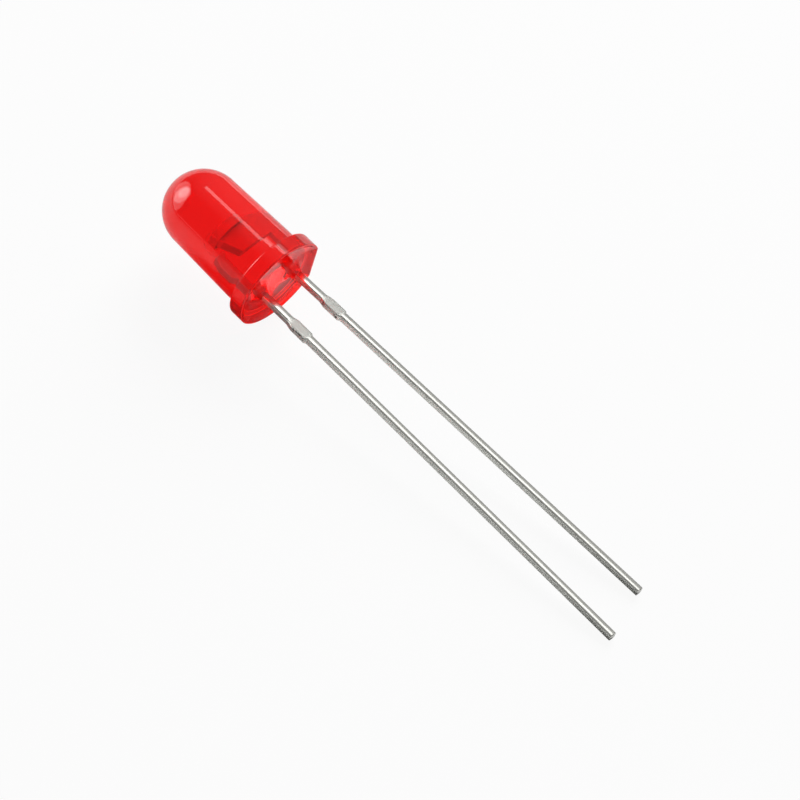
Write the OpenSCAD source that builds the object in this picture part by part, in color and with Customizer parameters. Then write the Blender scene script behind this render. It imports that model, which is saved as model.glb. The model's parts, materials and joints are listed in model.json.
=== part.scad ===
// Round 5 mm through hole LED: a cast resin case on two stamped leads.
//
// The LED is drawn upright in its own frame, with the dome up. Its axis is Z, Z = 0 is the rim of the
// case's underside, the anode is on the -X side and the cathode, beside the flat, on the +X side.
// Both leads are stamped from one strip, which lies in the XZ plane. lying() then turns the LED onto
// its side, as it comes to rest: on the flange's rim and on the two tips, with the leads along +X.

/* [Case] */
// Height of the case, from the rim of its underside to the top of the dome
case_h = 8.64; // [8.2:0.02:9]
// Diameter of the barrel where it meets the flange
barrel_d = 4.96; // [4.8:0.02:5.2]
// Length of the barrel's straight land, next to the flange
land_l = 0.8; // [0.5:0.1:1.5]
// Diameter of the dome, to which the rest of the barrel tapers
dome_d = 4.72; // [4.6:0.02:4.78]
// Diameter of the flange
flange_d = 5.9; // [5.7:0.1:6.2]
// Thickness of the flange
flange_t = 0.96; // [0.8:0.02:1.2]
// Radius of the flange's edge on the dome's side
flange_edge_r = 0.1; // [0.05:0.05:0.3]
// Distance from the axis to the flat that marks the cathode
flat_x = 2.66; // [2.5:0.02:2.7]

/* [Underside] */
// Width of the level rim
rim_w = 0.1; // [0.05:0.05:0.2]
// Depth of the hollow inside the rim
hollow_h = 0.4; // [0.25:0.05:0.5]
// Radius of the curve between the hollow's floor and the rim
hollow_r = 0.6; // [0.5:0.05:0.8]
// Height that the resin climbs up a lead, past the rim
climb_h = 0.12; // [0.05:0.01:0.2]
// Radius of the curve between the hollow's floor and a lead
climb_r = 0.6; // [0.55:0.05:0.8]

/* [Leads] */
// Distance between the two leads where they leave the case
lead_pitch = 2.54; // [2.5:0.01:2.6]
// Side of a lead's square section, which is the strip's thickness
lead_w = 0.46; // [0.4:0.02:0.5]
// Length of the anode lead below the rim
anode_l = 27.8; // [27:0.1:30]
// Length of the cathode lead below the rim
cathode_l = 26.7; // [20:0.1:26.8]
// Lean of the anode lead, away from the other lead, in degrees
anode_splay = -0.2; // [-1:0.1:2]
// Lean of the cathode lead, away from the other lead, in degrees
cathode_splay = 1.4; // [-1:0.1:2]
// Distance from the rim to the stub of the cut tie bar
stub_start = 2.15; // [1.5:0.05:3]
// Length of the stub along the lead
stub_l = 1.6; // [0.8:0.05:2]
// Distance that the stub stands out on each side of the lead
stub_out = 0.1; // [0.05:0.01:0.15]

/* [Lead frame] */
// Height of the shoulders where the stems widen inside the case
shoulder_h = 1.5; // [1.2:0.1:1.7]
// Distance from the axis to the outer edges of the anvil and the post
frame_x = 1.8; // [1.6:0.05:1.9]
// Height of the cup's mouth
mouth_h = 4.5; // [4.4:0.05:4.55]
// Diameter of the round head that holds the cup
head_d = 1.4; // [1.3:0.05:1.45]
// Height of the head
head_h = 0.6; // [0.5:0.05:0.8]
// Diameter of the cup's mouth
cup_mouth_d = 1; // [0.9:0.05:1.1]
// Diameter of the cup's floor
cup_floor_d = 0.56; // [0.5:0.02:0.6]
// Depth of the cup
cup_depth = 0.35; // [0.3:0.01:0.4]
// Height of the anvil's lower edge where it meets the cathode's stem
anvil_low_h = 2.4; // [2.2:0.05:2.5]
// Height of the post's top, where the wire is bonded
post_h = 3.3; // [3.3:0.05:3.5]

/* [Chip] */
// Side of the chip
die_w = 0.3; // [0.25:0.01:0.34]
// Thickness of the chip
die_t = 0.2; // [0.15:0.01:0.25]
// Thickness of the silver paste under the chip
paste_t = 0.03; // [0.02:0.01:0.05]
// Diameter of the bond wire
wire_d = 0.03; // [0.02:0.005:0.04]
// Rise of the wire's loop
loop_h = 0.78; // [0.76:0.02:0.86]

/* [Hidden] */
$fn = 96;
over = 0.5; // how far a cutting shape runs past what it cuts

// The case's profile
flange_r = flange_d / 2;
dome_r = dome_d / 2;
dome_z = case_h - dome_r;

// The underside's hollow. Its curve is an arc that meets the floor level.
hollow_run = sqrt(pow(hollow_r, 2) - pow(hollow_r - hollow_h, 2));
curve_steps = 4; // facets of the curve along the flat

// The skirt of resin round a lead clears the corners of the square section.
skirt_wall = 0.03;
skirt_root = 0.1; // how far the skirt reaches into the case
skirt_neck_r = lead_w / sqrt(2) + skirt_wall;

// The leads
lead_x = lead_pitch / 2;
half_w = lead_w / 2;
stub_slope = 0.12; // length of the slope at each end of the stub

// The lead frame. The anvil carries the head and reaches out over the gap between the leads, towards
// the post, which stays lower and is coined wider at its top.
shoulder_rise = 0.3; // height over which a stem widens
head_z = mouth_h - head_h;
neck_h = 0.9; // height of the cone under the head
cup_floor_z = mouth_h - cup_depth;
anvil_ear = 0.05; // how far the anvil's top stands out past the head on each side
anvil_side_h = 0.2; // height of the upright side under the anvil's top
anvil_fall = 0.9; // drop from the anvil's top to its outer side
anvil_top = [head_d / 2 + anvil_ear, mouth_h - 0.1];
anvil_foot = [-0.23, anvil_low_h + 0.1];
post_in_x = -0.9; // inner edge of the post's top
post_top_h = 0.2; // height of the wider top
post_top_rise = 0.15; // height over which the post widens to it
post_fall = 0.6; // drop from the post's top to its outer side
paste_d = 1.5 * die_w;
die_z = cup_floor_z + paste_t;

// The bond wire's arc, from the middle of the ball's height to the middle of the stitch's
ball_d = 0.09;
bond_h = 0.03; // height of the ball and of the stitch
stitch_x = 0.08 - lead_x;
wire_top = die_z + die_t + bond_h / 2;
wire_end = post_h + bond_h / 2;
loop_chord = norm([stitch_x, wire_top - wire_end]);
loop_r = (pow(loop_chord / 2, 2) + pow(loop_h, 2)) / (2 * loop_h);
loop_angle = acos((loop_r - loop_h) / loop_r);

// How the LED lies. In its lying frame x runs along the leads, y from the anode to the cathode and
// z up. A plane z = z0 + slope_x * x + slope_y * y touches the rim's circle and both tips from below.
function tip_corner(x, length, lean, across, up) =
  [length * cos(lean) - across * sin(lean), x + length * sin(lean) + across * cos(lean), up];
anode_foot = tip_corner(-lead_x, anode_l, -anode_splay, half_w, -half_w);
cathode_foot = tip_corner(lead_x, cathode_l, cathode_splay, half_w, -half_w);
turn_ratio = (anode_foot.x - cathode_foot.x) / (cathode_foot.y - anode_foot.y);
reach = anode_foot.x + turn_ratio * anode_foot.y;
tilt_square = pow(reach, 2) - pow(flange_r * turn_ratio, 2);
slope_x = (sqrt(pow(reach * lead_w, 2) + tilt_square * (4 * pow(flange_r, 2) - pow(lead_w, 2)))
  - reach * lead_w) / (2 * tilt_square);
slope_y = turn_ratio * slope_x;
roll = -atan(slope_y);
plane_norm = sqrt(1 + pow(slope_x, 2) + pow(slope_y, 2));
pitch = asin(slope_x / plane_norm);
rest_z = flange_r * sqrt(1 + pow(slope_y, 2)) / plane_norm;

// The middle of the lying LED's box, which is put over the origin
anode_far = tip_corner(-lead_x, anode_l, -anode_splay, -half_w, half_w);
far_x = anode_far.x * cos(pitch) + (anode_far.y * sin(roll) + anode_far.z * cos(roll)) * sin(pitch);
near_x = -dome_z * cos(pitch) - dome_r;
flat_corner_z = sqrt(pow(flange_r, 2) - pow(flat_x, 2));
far_y = flat_x * cos(roll) + flat_corner_z * abs(sin(roll));
mid_x = (far_x + near_x) / 2;
mid_y = (far_y - flange_r) / 2;

// Turns the upright LED onto its side and puts it over the origin
module lying() {
  translate([-mid_x, -mid_y, rest_z])
    rotate([roll, pitch, 0])
      rotate([0, -90, 0])
        rotate([0, 0, 90])
          children();
}

// ---- Case ----

// A quarter disc above and to the right of its centre
module quarter_disc(centre, radius) {
  translate(centre)
    intersection() {
      circle(radius);
      square(2 * radius);
    }
}

// Half of the case's outline. Its round parts meet the straight ones on level and upright radii.
module case_profile() {
  edge_centre = [flange_r - flange_edge_r, flange_t - flange_edge_r];
  polygon([
    [0, 0],
    [flange_r, 0],
    [flange_r, edge_centre.y],
    edge_centre,
    [edge_centre.x, flange_t],
    [barrel_d / 2, flange_t],
    [barrel_d / 2, flange_t + land_l],
    [dome_r, dome_z],
    [0, dome_z]
  ]);
  quarter_disc(edge_centre, flange_edge_r);
  quarter_disc([0, dome_z], dome_r);
}

// Half of the hollow's outline, whose rim is at the given distance from the axis
module hollow_profile(rim) {
  floor_end = rim - hollow_run;
  translate([0, -over])
    square([floor_end, over + hollow_h]);
  intersection() {
    translate([floor_end, hollow_h - hollow_r])
      circle(hollow_r);
    translate([floor_end, -over])
      square([hollow_r, hollow_h + over]);
  }
}

// The half space inside the flat, with a rim of its own and facets down to the hollow's floor
module hollow_flat_side() {
  rim = flat_x - rim_w;
  arc_centre = [rim - hollow_run, hollow_h - hollow_r];
  rim_angle = asin((hollow_r - hollow_h) / hollow_r);
  arc = [for (i = [0:curve_steps])
    let (angle = 90 - i * (90 - rim_angle) / curve_steps)
    arc_centre + hollow_r * [cos(angle), sin(angle)]];
  rotate([90, 0, 0])
    linear_extrude(2 * flange_d, center = true)
      polygon(concat([[-flange_d, hollow_h + over], [arc[0].x, hollow_h + over]], arc,
        [[rim, -over], [-flange_d, -over]]));
}

// What the resin's free surface left out of the underside
module hollow() {
  intersection() {
    rotate_extrude()
      hollow_profile(flange_r - rim_w);
    hollow_flat_side();
  }
}

// The resin that climbed a lead
module skirt() {
  curve_x = skirt_neck_r + climb_r;
  rotate_extrude()
    difference() {
      translate([0, -climb_h])
        square([curve_x - skirt_root, climb_h + hollow_h + skirt_root]);
      translate([curve_x, -climb_h])
        circle(climb_r);
    }
}

module case() {
  color([0.91, 0.1, 0.08, 0.75])
    lying()
      difference() {
        union() {
          difference() {
            rotate_extrude()
              case_profile();
            translate([flat_x, -flange_d, -over])
              cube([flange_d, 2 * flange_d, flange_t + 2 * over]);
            hollow();
          }
          for (side = [-1, 1])
            translate([side * lead_x, 0, 0])
              skirt();
        }
        cathode_stamping();
        anode_stamping();
        chip();
        paste();
        wire();
      }
}

// ---- Leads ----

// One side's edge of a lead below the rim, from its tip up to the rim. side is -1 or 1.
function lead_edge(x, length, lean, side) =
  let (stub_end = stub_start + stub_l,
    along = [length, stub_end, stub_end - stub_slope, stub_start + stub_slope, stub_start, 0],
    across = [for (stub = [0, 0, 1, 1, 0, 0]) half_w + stub * stub_out])
  [for (i = [0:len(along) - 1])
    [x + along[i] * sin(lean) + side * across[i] * cos(lean),
      side * across[i] * sin(lean) - along[i] * cos(lean)]];

function reversed(list) = [for (i = [len(list) - 1:-1:0]) list[i]];

// The strip's thickness is on both sides of the XZ plane.
module stamped(outline) {
  rotate([90, 0, 0])
    linear_extrude(lead_w, center = true)
      polygon(outline);
}

module cathode_stamping() {
  outer = reversed(lead_edge(lead_x, cathode_l, cathode_splay, 1));
  inner = lead_edge(lead_x, cathode_l, cathode_splay, -1);
  difference() {
    union() {
      stamped(concat(inner, [
        [lead_x - half_w, anvil_low_h],
        anvil_foot,
        [-anvil_top.x, anvil_top.y - anvil_side_h],
        [-anvil_top.x, anvil_top.y],
        [anvil_top.x, anvil_top.y],
        [anvil_top.x, anvil_top.y - anvil_side_h],
        [frame_x, anvil_top.y - anvil_fall],
        [frame_x, shoulder_h + shoulder_rise],
        [lead_x + half_w, shoulder_h]
      ], outer));
      translate([0, 0, head_z - neck_h])
        cylinder(h = neck_h, d1 = lead_w, d2 = head_d);
      translate([0, 0, head_z])
        cylinder(h = head_h, d = head_d);
    }
    translate([0, 0, cup_floor_z])
      cylinder(h = 2 * cup_depth, d1 = cup_floor_d, d2 = 2 * cup_mouth_d - cup_floor_d);
  }
}

module anode_stamping() {
  outer = reversed(lead_edge(-lead_x, anode_l, -anode_splay, -1));
  inner = lead_edge(-lead_x, anode_l, -anode_splay, 1);
  stamped(concat(inner, [
    [half_w - lead_x, post_h - post_top_h - post_top_rise],
    [post_in_x, post_h - post_top_h],
    [post_in_x, post_h],
    [-lead_x - half_w, post_h],
    [-frame_x, post_h - post_fall],
    [-frame_x, shoulder_h + shoulder_rise],
    [-lead_x - half_w, shoulder_h]
  ], outer));
}

module cathode_lead() {
  color([0.78, 0.78, 0.75])
    lying()
      cathode_stamping();
}

module anode_lead() {
  color([0.78, 0.78, 0.75])
    lying()
      anode_stamping();
}

// ---- Chip ----

module chip() {
  translate([-die_w / 2, -die_w / 2, die_z])
    cube([die_w, die_w, die_t]);
}

module paste() {
  translate([0, 0, cup_floor_z])
    cylinder(h = paste_t, d = paste_d);
}

// The wire is one arc. It starts in the ball on the chip and ends in the stitch on the post.
module wire() {
  translate([0, 0, die_z + die_t])
    cylinder(h = bond_h, d = ball_d);
  translate([stitch_x, 0, post_h])
    cylinder(h = bond_h, d = ball_d);
  translate([stitch_x / 2, 0, (wire_top + wire_end) / 2])
    rotate([90, atan((wire_end - wire_top) / -stitch_x), 0])
      translate([0, loop_h - loop_r])
        rotate_extrude(angle = 2 * loop_angle, start = 90 - loop_angle)
          translate([loop_r, 0])
            circle(d = wire_d);
}

module die() {
  color([0.25, 0.08, 0.06])
    lying()
      chip();
}

module die_attach() {
  color([0.7, 0.7, 0.72])
    lying()
      paste();
}

module bond_wire() {
  color([0.9, 0.7, 0.3])
    lying()
      wire();
}

case();
cathode_lead();
anode_lead();
die();
die_attach();
bond_wire();
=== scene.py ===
import json
import math

import bmesh
import bpy
from mathutils import Matrix, Vector


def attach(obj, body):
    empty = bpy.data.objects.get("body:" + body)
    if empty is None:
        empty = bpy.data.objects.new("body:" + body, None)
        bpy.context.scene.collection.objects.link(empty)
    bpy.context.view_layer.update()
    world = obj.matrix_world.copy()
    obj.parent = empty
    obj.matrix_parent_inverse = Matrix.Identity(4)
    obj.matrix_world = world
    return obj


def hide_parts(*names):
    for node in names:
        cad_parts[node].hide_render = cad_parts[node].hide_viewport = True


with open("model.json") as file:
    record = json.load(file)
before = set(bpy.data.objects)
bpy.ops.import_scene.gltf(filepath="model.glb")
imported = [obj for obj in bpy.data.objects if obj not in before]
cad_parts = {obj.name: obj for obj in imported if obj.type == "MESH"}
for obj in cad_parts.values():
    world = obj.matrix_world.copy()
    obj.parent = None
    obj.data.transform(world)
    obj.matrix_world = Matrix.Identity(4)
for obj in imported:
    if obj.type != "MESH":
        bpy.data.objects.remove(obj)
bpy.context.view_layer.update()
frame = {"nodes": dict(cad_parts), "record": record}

# ---- How the LED lies ----
# Every piece is drawn upright and in millimetres, the way the LED is drawn on a data sheet: the dome
# points up Z, the rim of the underside is at Z = 0 and the flat beside the cathode faces +X. The
# mounts say where that frame lies in the row, and each finished mesh is laid down there.

mounts = {mount["name"]: mount for mount in frame["record"]["mounts"]}
up = -Vector(mounts["seat"]["axis"])
to_cathode = Vector(mounts["cathode_flat"]["axis"])
lying = Matrix.Translation(mounts["seat"]["pos_m"]) @ (
    Matrix((to_cathode, up.cross(to_cathode), up)).transposed() @ Matrix.Scale(0.001, 3)
).to_4x4()
standing = lying.inverted()


def on_upright(mount):
    """Where a mount is on the upright LED."""
    return standing @ Vector(mounts[mount]["pos_m"])


def lay_down(name, bm, material, node, sharp=35):
    """Makes a piece that stands for its CAD node out of an upright bmesh."""
    bmesh.ops.transform(bm, matrix=lying, verts=bm.verts)
    bmesh.ops.recalc_face_normals(bm, faces=bm.faces)
    mesh = bpy.data.meshes.new(name)
    bm.to_mesh(mesh)
    bm.free()
    mesh.materials.append(material)
    mesh.shade_smooth()
    mesh.set_sharp_from_angle(angle=math.radians(sharp))
    piece = bpy.data.objects.new(name, mesh)
    bpy.context.scene.collection.objects.link(piece)
    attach(piece, "root")
    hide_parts(node)
    return piece


# ---- Leads ----
# Both leads are stamped from one strip of steel and dipped in tin, which crowns the faces and rounds
# the edges. Each has a stub on both sides, where the tie bar was cut off. Inside the case the anode
# widens into the post for the bond wire and the cathode into the anvil that carries the cup.

strip_t = 0.46
half_t = strip_t / 2
edge_r = 0.07
crown = 0.012
tip_r = 0.05
lead_x = on_upright("cathode_lead").x
anode_l, anode_lean = 27.8, 0.2
cathode_l, cathode_lean = 26.7, -1.4
stub_start, stub_end, stub_out = 2.15, 3.75, 0.1
shoulder_z = 1.5


def linear(hex_colour):
    """The linear RGBA of an sRGB hex colour."""
    channels = [int(hex_colour[i : i + 2], 16) / 255 for i in (1, 3, 5)]
    return (*[c / 12.92 if c < 0.04045 else ((c + 0.055) / 1.055) ** 2.4 for c in channels], 1)


def add_node(tree, kind, settings=None, **links):
    """Adds a node. Settings that name a socket fill it, and the others are the node's own."""
    node = tree.nodes.new("ShaderNode" + kind)
    for key, value in (settings or {}).items():
        if not isinstance(key, int) and hasattr(node, key):
            setattr(node, key, value)
        else:
            node.inputs[key].default_value = value
    for key, source in links.items():
        socket = node.inputs[int(key[1:])] if key[1:].isdigit() else node.inputs[key.replace("_", " ")]
        tree.links.new(socket, source)
    return node


def new_material(name):
    material = bpy.data.materials.new(name)
    material.use_nodes = True
    material.node_tree.nodes.clear()
    return material, material.node_tree


def stamped(stations):
    """The strip's section, taken up through stations of (height, left edge, right edge)."""
    bm = bmesh.new()
    bmesh.ops.create_grid(bm, x_segments=1, y_segments=1, size=half_t)
    bmesh.ops.bevel(bm, geom=bm.verts, offset=edge_r, segments=4, profile=0.5, affect="VERTICES", material=-1)
    sides = [e for e in bm.edges if e.calc_length() > half_t]
    bmesh.ops.subdivide_edges(bm, edges=sides, cuts=6)
    for v in bm.verts:
        x, y = v.co.x / half_t, v.co.y / half_t
        v.co.x -= crown * x * y * y
        v.co.y -= crown * y * x * x
    end = bm.faces[:]
    left, right = -half_t, half_t
    for station in stations:
        height, next_left, next_right = station
        for v in {v for f in end for v in f.verts}:
            v.co.x += next_right - right if v.co.x > (left + right) / 2 else next_left - left
            v.co.z = height
        left, right = next_left, next_right
        if station != stations[-1]:
            region = bmesh.ops.extrude_face_region(bm, geom=end)["geom"]
            end = [g for g in region if isinstance(g, bmesh.types.BMFace)]
    return bm


def outer_lead(x, length):
    """The stations of a lead from its tip up to its shoulder inside the case."""
    left, right = x - half_t, x + half_t
    return [
        (-length, left, right),
        (-stub_end, left, right),
        (-stub_end + 0.12, left - stub_out, right + stub_out),
        (-stub_start - 0.4, left - stub_out, right + stub_out),
        (-stub_start, left, right),
        (-0.4, left, right),
        (shoulder_z, left, right),
    ]


def lean(bm, x, angle):
    """Rounds the tip and bends the lead below the rim, away from or towards the other one."""
    foot = min(v.co.z for v in bm.verts)
    rim = [e for e in bm.edges if all(v.co.z < foot + 1e-4 for v in e.verts)]
    bmesh.ops.bevel(bm, geom=rim, offset=tip_r, segments=3, profile=0.5, affect="EDGES", material=-1,
                    clamp_overlap=True)
    bmesh.ops.rotate(bm, verts=[v for v in bm.verts if v.co.z < -0.1], cent=(x, 0, 0),
                     matrix=Matrix.Rotation(math.radians(angle), 3, "Y"))


# Bright tin on the strip's faces, drawn out along them by the dip. The sheared sides and the cut
# stubs are duller and rougher, the stubs with dark specks where the shear tore the tin. Inside the
# case the strip is plated with silver, which is paler.
tin, tree = new_material("tinned_steel")
coords = add_node(tree, "TexCoord")
drawn = add_node(tree, "Mapping", {"Scale": (0.25, 1, 1)}, Vector=coords.outputs["Object"])
waves = add_node(tree, "TexNoise", {"Scale": 4500, "Detail": 3}, Vector=drawn.outputs[0])
along = add_node(tree, "VectorMath", {"operation": "DOT_PRODUCT", 1: -up}, Vector=coords.outputs["Object"])
rim_along = -up.dot(Vector(mounts["seat"]["pos_m"]))
reach = add_node(tree, "MapRange", {"From Min": rim_along - 0.0005, "From Max": rim_along + 0.0055},
                 Value=along.outputs["Value"])
stub = add_node(tree, "ValToRGB", Fac=reach.outputs[0])
stops = stub.color_ramp.elements
stops[0].position, stops[1].position = 0.44, 0.51
for position, value in ((0.67, 1), (0.71, 0)):
    stops.new(position).color = (value, value, value, 1)
across = add_node(tree, "VectorMath", {"operation": "DOT_PRODUCT", 1: to_cathode}, Vector=coords.outputs["Normal"])
facing = add_node(tree, "Math", {"operation": "ABSOLUTE"}, _0=across.outputs["Value"])
side = add_node(tree, "MapRange", {"From Min": 0.6, "From Max": 0.8}, Value=facing.outputs[0])
rough_part = add_node(tree, "Math", {"operation": "MAXIMUM"}, _0=stub.outputs["Color"], _1=side.outputs[0])
inside = add_node(tree, "MapRange", {"From Min": rim_along, "From Max": rim_along - 0.0004},
                  Value=along.outputs["Value"])
outer = add_node(tree, "MixRGB", {"Color1": linear("#dcdcd6"), "Color2": linear("#eeefe9")},
                 Fac=rough_part.outputs[0])
torn = add_node(tree, "TexNoise", {"Scale": 2600, "Detail": 2}, Vector=coords.outputs["Object"])
pits = add_node(tree, "MapRange", {"From Min": 0.57, "From Max": 0.62}, Value=torn.outputs["Fac"])
cut = add_node(tree, "Math", {"operation": "MULTIPLY"}, _0=side.outputs[0], _1=stub.outputs["Color"])
specks = add_node(tree, "Math", {"operation": "MULTIPLY"}, _0=pits.outputs[0], _1=cut.outputs[0])
speckled = add_node(tree, "MixRGB", {"Color2": linear("#6f6d68")}, Fac=specks.outputs[0], Color1=outer.outputs[0])
below_head = add_node(tree, "MapRange", {"From Min": rim_along - 0.0037, "From Max": rim_along - 0.0036},
                      Value=along.outputs["Value"])
shaded = add_node(tree, "Math", {"operation": "MULTIPLY"}, _0=side.outputs[0], _1=below_head.outputs[0])
silver = add_node(tree, "MixRGB", {"Color1": linear("#faf8f4"), "Color2": linear("#e6e4de")}, Fac=shaded.outputs[0])
plate = add_node(tree, "MixRGB", Fac=inside.outputs[0], Color1=speckled.outputs[0], Color2=silver.outputs[0])
gleam = add_node(tree, "MapRange", {"To Min": 0.1, "To Max": 0.2}, Value=waves.outputs["Fac"])
matt = add_node(tree, "Math", {"operation": "MAXIMUM"}, _0=rough_part.outputs[0], _1=inside.outputs[0])
inner = add_node(tree, "Math", {"operation": "MULTIPLY_ADD", 1: 0.3}, _0=inside.outputs[0], _2=gleam.outputs[0])
dull = add_node(tree, "Math", {"operation": "MULTIPLY_ADD", 1: 0.28}, _0=matt.outputs[0], _2=inner.outputs[0])
bump = add_node(tree, "Bump", {"Strength": 1.0, "Distance": 1e-6}, Height=waves.outputs["Fac"])
shader = add_node(tree, "BsdfPrincipled", {"Metallic": 1.0}, Base_Color=plate.outputs[0],
                  Roughness=dull.outputs[0], Normal=bump.outputs[0])
add_node(tree, "OutputMaterial", Surface=shader.outputs[0])

bm = stamped(outer_lead(-lead_x, anode_l) + [
    (1.8, -1.8, -1.04),
    (2.7, -1.8, -1.04),
    (2.95, -1.675, -1.04),
    (3.1, -1.6, -0.9),
    (3.3, -1.5, -0.9),
])
lean(bm, -lead_x, anode_lean)
lay_down("anode_lead_tinned", bm, tin, "anode_lead")

bm = stamped(outer_lead(lead_x, cathode_l) + [
    (1.8, 1.04, 1.8),
    (2.4, 1.04, 1.8),
    (2.5, -0.23, 1.8),
    (3.5, -0.536, 1.8),
    (4.2, -0.75, 0.75),
    (4.4, -0.75, 0.75),
])
lean(bm, lead_x, cathode_lean)
cathode = lay_down("cathode_lead_tinned", bm, tin, "cathode_lead")

# ---- Cup ----
# The reflector cup is coined into the round head on top of the cathode's anvil. Its wall throws the
# chip's side light up through the dome.

mouth_z = 4.5
cup_depth = 0.35
head_r, neck_r, head_h, neck_h = 0.7, 0.23, 0.6, 0.9
cup_mouth_r, cup_floor_r = 0.5, 0.28

bm = bmesh.new()
bmesh.ops.create_circle(bm, cap_ends=True, segments=96, radius=neck_r)
rings = [
    (mouth_z - head_h - neck_h, neck_r),
    (mouth_z - head_h, head_r),
    (mouth_z - 0.04, head_r),
    (mouth_z, head_r - 0.04),
    (mouth_z, cup_mouth_r + 0.03),
    (mouth_z - 0.03, cup_mouth_r - 0.02),
    (mouth_z - cup_depth + 0.02, cup_floor_r + 0.01),
    (mouth_z - cup_depth, cup_floor_r - 0.02),
]
end = bm.faces[:]
radius = neck_r
for i, (height, next_radius) in enumerate(rings):
    if i:
        region = bmesh.ops.extrude_face_region(bm, geom=end)["geom"]
        end = [g for g in region if isinstance(g, bmesh.types.BMFace)]
    for v in {v for f in end for v in f.verts}:
        v.co.x *= next_radius / radius
        v.co.y *= next_radius / radius
        v.co.z = height
    radius = next_radius
bmesh.ops.transform(bm, matrix=lying, verts=bm.verts)
bmesh.ops.recalc_face_normals(bm, faces=bm.faces)
mesh = bpy.data.meshes.new("head")
bm.to_mesh(mesh)
bm.free()
mesh.materials.append(tin)
head = bpy.data.objects.new("head", mesh)
bpy.context.scene.collection.objects.link(head)
join = cathode.modifiers.new("head", "BOOLEAN")
join.operation = "UNION"
join.solver = "EXACT"
join.object = head
whole = bpy.data.meshes.new_from_object(cathode.evaluated_get(bpy.context.evaluated_depsgraph_get()))
cathode.modifiers.clear()
cathode.data = whole
whole.shade_smooth()
whole.set_sharp_from_angle(angle=math.radians(24))
bpy.data.objects.remove(head)

# ---- Chip, paste and wire ----
# The sawn chip is glued into the cup with silver paste, which rises in a fillet round its foot. A gold
# wire is welded to the chip's pad in a ball, loops over to the post and ends in a flattened stitch.

cup_floor_z = mouth_z - cup_depth
paste_t, paste_r = 0.03, 0.225
die_w, die_t = 0.3, 0.2
die_z = cup_floor_z + paste_t
ball_r, bond_h, wire_r, loop_h = 0.045, 0.03, 0.015, 0.78
post_z, stitch_x = 3.3, 0.08 - lead_x

chip, tree = new_material("semiconductor_chip")
coords = add_node(tree, "TexCoord")
saw = add_node(tree, "TexNoise", {"Scale": 30000, "Detail": 2}, Vector=coords.outputs["Object"])
tone = add_node(tree, "ValToRGB", Fac=saw.outputs["Fac"])
tone.color_ramp.elements[0].color = linear("#5a2018")
tone.color_ramp.elements[1].color = linear("#8c3a2c")
shader = add_node(tree, "BsdfPrincipled", {"Roughness": 0.3, "IOR": 3.0}, Base_Color=tone.outputs[0])
add_node(tree, "OutputMaterial", Surface=shader.outputs[0])
bm = bmesh.new()
bmesh.ops.create_cube(bm, size=1, matrix=Matrix.Translation((0, 0, die_z + die_t / 2)) @ Matrix.Diagonal((die_w, die_w, die_t, 1)))
bmesh.ops.bevel(bm, geom=bm.edges, offset=0.006, segments=2, profile=0.5, affect="EDGES", material=-1)
lay_down("chip_sawn", bm, chip, "die")

paste, tree = new_material("silver_paste")
coords = add_node(tree, "TexCoord")
flakes = add_node(tree, "TexVoronoi", {"Scale": 40000}, Vector=coords.outputs["Object"])
tone = add_node(tree, "MapRange", {"To Min": 0.35, "To Max": 0.6}, Value=flakes.outputs["Distance"])
shader = add_node(tree, "BsdfPrincipled", {"Base Color": linear("#b8b8ba"), "Metallic": 0.8}, Roughness=tone.outputs[0])
add_node(tree, "OutputMaterial", Surface=shader.outputs[0])
bm = bmesh.new()
bmesh.ops.create_cone(bm, cap_ends=True, segments=48, radius1=paste_r, radius2=paste_r - 0.02, depth=paste_t, matrix=Matrix.Translation((0, 0, cup_floor_z + paste_t / 2)))
lay_down("paste_cured", bm, paste, "die_attach")

gold, tree = new_material("gold_wire")
coords = add_node(tree, "TexCoord")
drawn = add_node(tree, "TexNoise", {"Scale": 60000, "Detail": 1}, Vector=coords.outputs["Object"])
tone = add_node(tree, "MapRange", {"To Min": 0.12, "To Max": 0.22}, Value=drawn.outputs["Fac"])
shader = add_node(tree, "BsdfPrincipled", {"Base Color": linear("#e8c06a"), "Metallic": 1.0}, Roughness=tone.outputs[0])
add_node(tree, "OutputMaterial", Surface=shader.outputs[0])
start = Vector((0, 0, die_z + die_t + bond_h / 2))
stop = Vector((stitch_x, 0, post_z + bond_h / 2))
chord = (stop - start).length
loop_r = (chord**2 / 4 + loop_h**2) / (2 * loop_h)
half_turn = math.acos((loop_r - loop_h) / loop_r)
across = (stop - start).normalized()
centre = (start + stop) / 2 - (loop_r - loop_h) * across.cross(Vector((0, 1, 0)))
if centre.z > start.z:
    centre = (start + stop) / 2 + (loop_r - loop_h) * across.cross(Vector((0, 1, 0)))
bm = bmesh.new()
arm = start - centre
frame_at_start = Matrix((Vector((0, 1, 0)), arm.normalized(), Vector((0, 1, 0)).cross(arm.normalized()))).transposed().to_4x4()
bmesh.ops.create_circle(bm, cap_ends=True, segments=16, radius=wire_r, matrix=Matrix.Translation(start) @ frame_at_start)
turn = -2 * half_turn
bmesh.ops.spin(bm, geom=bm.verts[:] + bm.edges[:] + bm.faces[:], cent=centre, axis=(0, 1, 0), angle=turn, steps=40)
for place in (start, stop):
    bmesh.ops.create_uvsphere(bm, u_segments=24, v_segments=12, radius=ball_r,
                              matrix=Matrix.Translation(place) @ Matrix.Diagonal((1, 1, bond_h / 2 / ball_r, 1)))
lay_down("bond_wire_drawn", bm, gold, "bond_wire")

# ---- Case ----
# Red epoxy, cast with the dome down in a polished mould around the lead frame. The mould gives the
# flange, the flat and the tapered barrel. The underside was the resin's free surface: it sank inside
# the rim as it cured and climbed the leads.

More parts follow.
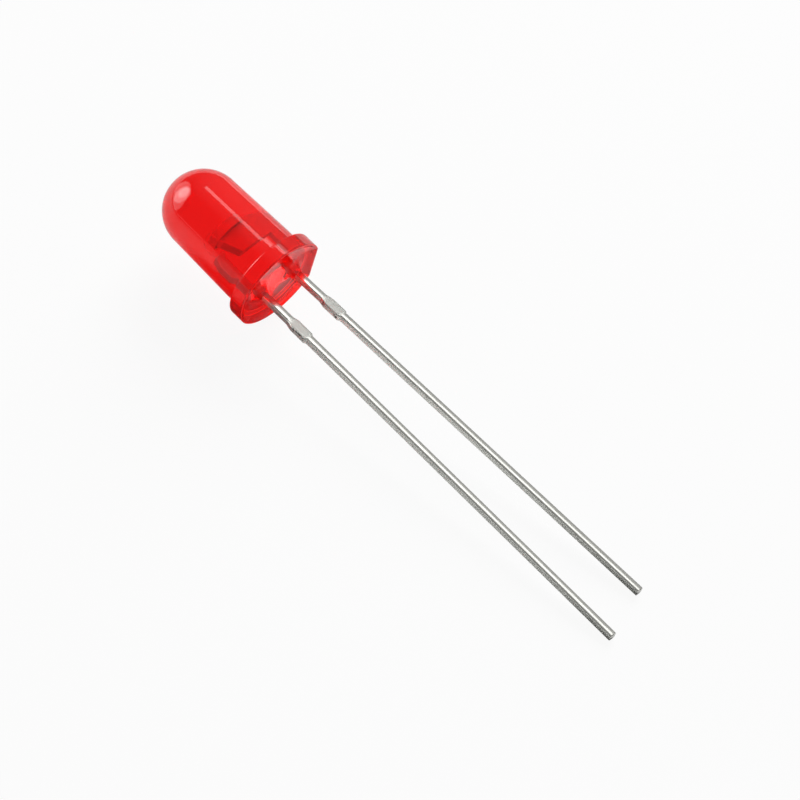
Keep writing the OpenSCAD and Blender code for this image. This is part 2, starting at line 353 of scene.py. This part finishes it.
flange_t = on_upright("shoulder").z
flat_x = on_upright("cathode_flat").x
barrel_r = mounts["barrel"]["dims"]["r_mm"]
land_z = flange_t + mounts["barrel"]["dims"]["length_mm"]
cad_case = [standing @ v.co for v in frame["nodes"]["case"].data.vertices]
case_h = max(c.z for c in cad_case)
flange_r = max(c.xy.length for c in cad_case)
dome_r = 2.36
dome_z = case_h - dome_r
flange_edge_r, cove_r, rim_r = 0.1, 0.04, 0.03
rim_w = 0.09
hollow_h, hollow_run = 0.4, 0.42
climb_h, climb_run = 0.15, 0.14

bm = bmesh.new()
top = bm.verts.new((0, 0, case_h))
bmesh.ops.spin(bm, geom=[top], cent=(0, 0, dome_z), axis=(0, 1, 0), angle=math.pi / 2, steps=48)
tip = min(bm.verts, key=lambda v: v.co.z)
corners = []
for r, z in ((barrel_r, land_z), (barrel_r, flange_t), (flange_r, flange_t), (flange_r, 0), (0, 0)):
    tip = bmesh.ops.extrude_vert_indiv(bm, verts=[tip])["verts"][0]
    tip.co = (r, 0, z)
    corners.append(tip)
bmesh.ops.subdivide_edges(bm, edges=corners[-1].link_edges[:], cuts=110)
for r, z, size, steps in ((barrel_r, flange_t, cove_r, 4), (flange_r, flange_t, flange_edge_r, 8), (flange_r, 0, rim_r, 3)):
    corner = [v for v in bm.verts if (v.co - Vector((r, 0, z))).length < 1e-5]
    bmesh.ops.bevel(bm, geom=corner, offset=size, segments=steps, profile=0.5, affect="VERTICES", material=-1)
bmesh.ops.subdivide_edges(bm, edges=[e for e in bm.edges if e.calc_length() > 0.3], cuts=12)
bmesh.ops.spin(bm, geom=bm.verts[:] + bm.edges[:], cent=(0, 0, 0), axis=(0, 0, 1), angle=math.tau,
               steps=256, use_merge=True)
bmesh.ops.remove_doubles(bm, verts=bm.verts, dist=0.0005)
bmesh.ops.bisect_plane(bm, geom=bm.verts[:] + bm.edges[:] + bm.faces[:], dist=0.0001,
                       plane_co=(flat_x, 0, 0), plane_no=(1, 0, 0), clear_outer=True)
bmesh.ops.holes_fill(bm, edges=[e for e in bm.edges if e.is_boundary], sides=0)


def lead_gap(spot):
    """How far a spot on the underside is from the nearer lead."""
    return min(math.hypot(max(abs(spot.x - x) - half_t, 0), max(abs(spot.y) - half_t, 0)) for x in (-lead_x, lead_x))


for v in bm.verts:
    if abs(v.co.z) < 1e-5:
        inside = max(min(flange_r - v.co.xy.length, flat_x - v.co.x) - rim_w, 0)
        sunk = hollow_h * (1 - math.exp(-inside / hollow_run))
        v.co.z = sunk - (sunk + climb_h) * math.exp(-lead_gap(v.co) / climb_run)

# Clear red epoxy: the gloss of a polished mould with a faint ripple, and a dye that lets only red
# through, deeper where the light goes further. A little of the light is scattered by the filler.
resin, tree = new_material("red_cast_epoxy")
coords = add_node(tree, "TexCoord")
ripple = add_node(tree, "TexNoise", {"Scale": 500, "Detail": 2}, Vector=coords.outputs["Object"])
bump = add_node(tree, "Bump", {"Strength": 1.0, "Distance": 1.5e-6}, Height=ripple.outputs["Fac"])
gloss = add_node(tree, "MapRange", {"To Min": 0.04, "To Max": 0.07}, Value=ripple.outputs["Fac"])
shader = add_node(tree, "BsdfPrincipled", {
    "Base Color": linear("#fa1c12"), "IOR": 1.54, "Transmission Weight": 0.9},
    Roughness=gloss.outputs[0], Normal=bump.outputs[0])
dye = add_node(tree, "VolumeAbsorption", {"Color": (0.99, 0.0, 0.0, 1), "Density": 500.0})
add_node(tree, "OutputMaterial", Surface=shader.outputs[0], Volume=dye.outputs[0])
lay_down("case_cast", bm, resin, "case")

# ---- Stage ----
# White paper under a white room: what the camera sees directly, or through the resin, is white, and what only lights or
# mirrors in the LED is dimmer, so that its gloss shows the softboxes. Beside the dome a pool of light is painted on the
# paper, which shows only in the LED's gloss: a painted reflection.

world = bpy.data.worlds.new("studio")
bpy.context.scene.world = world
world.use_nodes = True
tree = world.node_tree
tree.nodes.clear()
path = add_node(tree, "LightPath")
seen = add_node(tree, "Math", {"operation": "MAXIMUM"}, _0=path.outputs["Is Camera Ray"],
                _1=path.outputs["Is Transmission Ray"])
sky = add_node(tree, "TexCoord").outputs["Generated"]
height = add_node(tree, "SeparateXYZ", Vector=sky)
sweep = add_node(tree, "MapRange", {"From Min": 0.05, "From Max": 0.0}, Value=height.outputs["Z"])
mirrored = add_node(tree, "Math", {"operation": "MULTIPLY"}, _0=path.outputs["Is Glossy Ray"], _1=sweep.outputs[0])
paper_part = add_node(tree, "Math", {"operation": "MAXIMUM"}, _0=seen.outputs[0], _1=mirrored.outputs[0])
ceiling = add_node(tree, "VectorMath", {"operation": "DOT_PRODUCT", 1: (0, 0.6, 0.8)}, Vector=sky)
level = add_node(tree, "MapRange", {"From Min": 0.55, "From Max": 0.95, "To Min": 0.2, "To Max": 0.45},
                 Value=ceiling.outputs["Value"])
lit = add_node(tree, "Math", {"operation": "MULTIPLY_ADD", 1: -0.75, 2: 1.0}, _0=path.outputs["Is Diffuse Ray"])
strength = add_node(tree, "Math", {"operation": "MULTIPLY"}, _0=level.outputs[0], _1=lit.outputs[0])
dim = add_node(tree, "Background", {"Color": (1, 1, 1, 1)}, Strength=strength.outputs[0])
white = add_node(tree, "Background", {"Color": (1, 1, 1, 1), "Strength": 1.0})
room = add_node(tree, "MixShader", _0=paper_part.outputs[0], _1=dim.outputs[0], _2=white.outputs[0])
add_node(tree, "OutputWorld", Surface=room.outputs[0])

bm = bmesh.new()
bmesh.ops.create_grid(bm, x_segments=1, y_segments=1, size=1.0)
mesh = bpy.data.meshes.new("paper_floor")
bm.to_mesh(mesh)
bm.free()
floor = bpy.data.objects.new("paper_floor", mesh)
bpy.context.scene.collection.objects.link(floor)
paper, tree = new_material("white_paper")
diffuse = add_node(tree, "BsdfDiffuse", {"Color": (0.8, 0.8, 0.8, 1)})
glow = add_node(tree, "Emission", {"Strength": 1.0})
path = add_node(tree, "LightPath")
# Painted light: a pool of light is painted on the paper at -X of the LED, where the key softboxes would light it.
# Within it the paper glows white to glossy rays only, so the dome and barrel show it as a painted reflection.
spot = add_node(tree, "TexCoord").outputs["Object"]
far = add_node(tree, "VectorMath", {"operation": "DISTANCE", 1: (-0.05, -0.01, 0)}, Vector=spot)
painted_light_pool = add_node(tree, "MapRange", {"From Min": 0.035, "From Max": 0.012}, Value=far.outputs["Value"])
mirrored = add_node(tree, "Math", {"operation": "MULTIPLY"}, _0=path.outputs["Is Glossy Ray"], _1=painted_light_pool.outputs[0])
clear = add_node(tree, "Math", {"operation": "MAXIMUM"}, _0=path.outputs["Is Camera Ray"],
                 _1=path.outputs["Is Transmission Ray"])
share = add_node(tree, "Math", {"operation": "MULTIPLY_ADD", 1: 0.93}, _0=clear.outputs[0], _2=mirrored.outputs[0])
mix = add_node(tree, "MixShader", _0=share.outputs[0], _1=diffuse.outputs[0], _2=glow.outputs[0])
add_node(tree, "OutputMaterial", Surface=mix.outputs[0])
mesh.materials.append(paper)

mid_case = lying @ Vector((0, 0, 5))


def softbox(name, direction, size, radiance, along=(1, 0, 0), shape="RECTANGLE"):
    """A softbox 0.4 m from the case that shows it this radiance. along is its long axis."""
    lamp = bpy.data.lights.new(name, "AREA")
    lamp.shape = shape
    lamp.size, lamp.size_y = size
    area = size[0] * size[1] * (math.pi / 4 if shape == "ELLIPSE" else 1)
    lamp.energy = radiance * math.pi * area
    away = Vector(direction).normalized()
    side = (Vector(along) - away * away.dot(Vector(along))).normalized()
    turn = Matrix((side, away.cross(side), away)).transposed()
    box = bpy.data.objects.new(name, lamp)
    bpy.context.scene.collection.objects.link(box)
    box.matrix_world = Matrix.Translation(mid_case + away * 0.4) @ turn.to_4x4()
    box.visible_camera = False
    return box


for name, direction, size, radiance in (
    ("key_hot", (-0.812, -0.30, 0.50), (0.17, 0.2), 2.8),
    ("key_core", (-0.80, -0.36, 0.44), (0.28, 0.34), 2.4),
    ("key_edge", (-0.86, -0.36, 0.26), (0.5, 0.46), 1.3),
):
    softbox(name, direction, size, radiance, along=(-0.5, 0.86, 0), shape="ELLIPSE").visible_diffuse = False
softbox("lamp", (-0.305, 0.315, 0.9), (0.036, 0.06), 2.6)
softbox("window", (-0.035, 0.51, 0.86), (0.19, 0.045), 1.6)
softbox("lamp_end", (-0.24, 0.405, 0.883), (0.02, 0.052), 3.0)
fill = softbox("fill", (-0.3, 0.8, 0.5), (0.26, 0.26), 11.0)
fill.visible_glossy = False
fill.visible_transmission = False

overhead = softbox("overhead", (-0.27, 0.43, 0.86), (0.7, 0.7), 0.5)
overhead.visible_glossy = False
overhead.visible_diffuse = False

camera = bpy.data.cameras.new("camera")
camera.lens = 202.3
camera.sensor_width = 36
camera.clip_start = 0.01
camera_object = bpy.data.objects.new("camera", camera)
camera_object.rotation_euler = [math.radians(a) for a in (38.156, -6.374, 45.28)]
camera_object.location = (0.093429, -0.122591, 0.195093)
bpy.context.scene.collection.objects.link(camera_object)
bpy.context.scene.camera = camera_object
bpy.context.scene.view_settings.view_transform = "Standard"
# Light goes round inside the clear case many times before it comes out.
cycles = bpy.context.scene.cycles
cycles.max_bounces = 32
cycles.glossy_bounces = 32
cycles.transmission_bounces = 32
